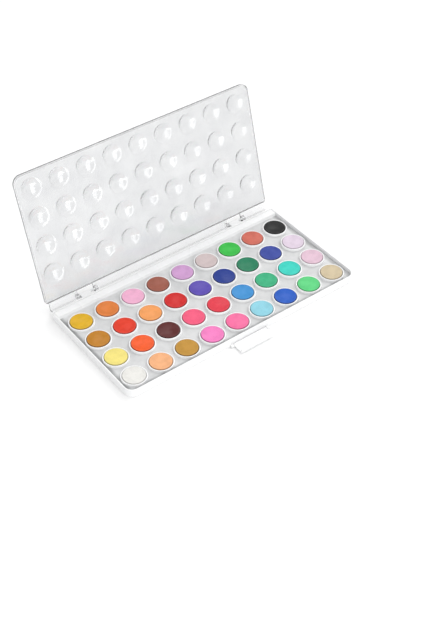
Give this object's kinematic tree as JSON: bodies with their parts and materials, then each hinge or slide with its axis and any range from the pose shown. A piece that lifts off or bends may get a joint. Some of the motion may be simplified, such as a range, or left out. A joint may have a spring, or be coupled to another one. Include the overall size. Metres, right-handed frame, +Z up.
{
  "type": "watercolour paint box",
  "caption": "Shallow white plastic paint box with a tray of round paint cakes in cups, a clear hinged lid with domed mixing wells, and a front clasp; shown open.",
  "frame": {"origin": "middle of the case's flat underside, on the surface that the box stands on", "axes": "+X runs along the box to the right as seen from the front, +Y points to the hinges at the back, +Z points up"},
  "size_m": [0.279, 0.2021, 0.1433],
  "materials": {
    "white_plastic": "smooth white injection-moulded polystyrene",
    "clear_plastic": "clear polished injection-moulded plastic",
    "pin_steel": "drawn steel wire",
    "paint_golden_yellow": "pressed watercolour, golden yellow, matte",
    "paint_orange": "pressed watercolour, orange, matte",
    "paint_pale_pink": "pressed watercolour, pale pink, matte",
    "paint_brown": "pressed watercolour, brown, matte",
    "paint_lilac": "pressed watercolour, lilac, matte",
    "paint_pearl_grey": "pressed watercolour, pearl grey, matte",
    "paint_grass_green": "pressed watercolour, grass green, matte",
    "paint_coral": "pressed watercolour, coral, matte",
    "paint_black": "pressed watercolour, black, matte",
    "paint_ochre": "pressed watercolour, ochre, matte",
    "paint_vermilion": "pressed watercolour, vermilion, matte",
    "paint_apricot": "pressed watercolour, apricot, matte",
    "paint_scarlet": "pressed watercolour, scarlet, matte",
    "paint_violet": "pressed watercolour, violet, matte",
    "paint_navy": "pressed watercolour, navy, matte",
    "paint_dark_green": "pressed watercolour, dark green, matte",
    "paint_ultramarine": "pressed watercolour, ultramarine, matte",
    "paint_pale_lilac": "pressed watercolour, pale lilac, matte",
    "paint_lemon": "pressed watercolour, lemon, matte",
    "paint_orange_red": "pressed watercolour, orange red, matte",
    "paint_maroon": "pressed watercolour, maroon, matte",
    "paint_rose": "pressed watercolour, rose, matte",
    "paint_crimson": "pressed watercolour, crimson, matte",
    "paint_sky_blue": "pressed watercolour, sky blue, matte",
    "paint_sea_green": "pressed watercolour, sea green, matte",
    "paint_turquoise": "pressed watercolour, turquoise, matte",
    "paint_blush": "pressed watercolour, blush, matte",
    "paint_white": "pressed watercolour, white, matte",
    "paint_peach": "pressed watercolour, peach, matte",
    "paint_raw_sienna": "pressed watercolour, raw sienna, matte",
    "paint_magenta": "pressed watercolour, magenta, matte",
    "paint_pink": "pressed watercolour, pink, matte",
    "paint_ice_blue": "pressed watercolour, ice blue, matte",
    "paint_royal_blue": "pressed watercolour, royal blue, matte",
    "paint_mint_green": "pressed watercolour, mint green, matte",
    "paint_sand": "pressed watercolour, sand, matte"
  },
  "bodies": {
    "base": {"case": "white_plastic", "cup_tray": "white_plastic", "hinge_pin_left": "pin_steel", "hinge_pin_right": "pin_steel", "cake_golden_yellow": "paint_golden_yellow", "cake_orange": "paint_orange", "cake_pale_pink": "paint_pale_pink", "cake_brown": "paint_brown", "cake_lilac": "paint_lilac", "cake_pearl_grey": "paint_pearl_grey", "cake_grass_green": "paint_grass_green", "cake_coral": "paint_coral", "cake_black": "paint_black", "cake_ochre": "paint_ochre", "cake_vermilion": "paint_vermilion", "cake_apricot": "paint_apricot", "cake_scarlet": "paint_scarlet", "cake_violet": "paint_violet", "cake_navy": "paint_navy", "cake_dark_green": "paint_dark_green", "cake_ultramarine": "paint_ultramarine", "cake_pale_lilac": "paint_pale_lilac", "cake_lemon": "paint_lemon", "cake_orange_red": "paint_orange_red", "cake_maroon": "paint_maroon", "cake_rose": "paint_rose", "cake_crimson": "paint_crimson", "cake_sky_blue": "paint_sky_blue", "cake_sea_green": "paint_sea_green", "cake_turquoise": "paint_turquoise", "cake_blush": "paint_blush", "cake_white": "paint_white", "cake_peach": "paint_peach", "cake_raw_sienna": "paint_raw_sienna", "cake_magenta": "paint_magenta", "cake_pink": "paint_pink", "cake_ice_blue": "paint_ice_blue", "cake_royal_blue": "paint_royal_blue", "cake_mint_green": "paint_mint_green", "cake_sand": "paint_sand"},
    "lid": {"lid": "clear_plastic"},
    "clasp": {"front_clasp": "white_plastic"}
  },
  "joints": [
    {"name": "lid_hinge", "type": "hinge", "parent": "base", "child": "lid", "pos_m": [0, 0.07415, 0.0071], "axis": [1, 0, 0], "range_deg": [0, 105.9]},
    {"name": "clasp_hinge", "type": "hinge", "parent": "base", "child": "clasp", "pos_m": [0, -0.07055, 0.002], "axis": [-1, 0, 0], "range_deg": [0, 90]}
  ]
}
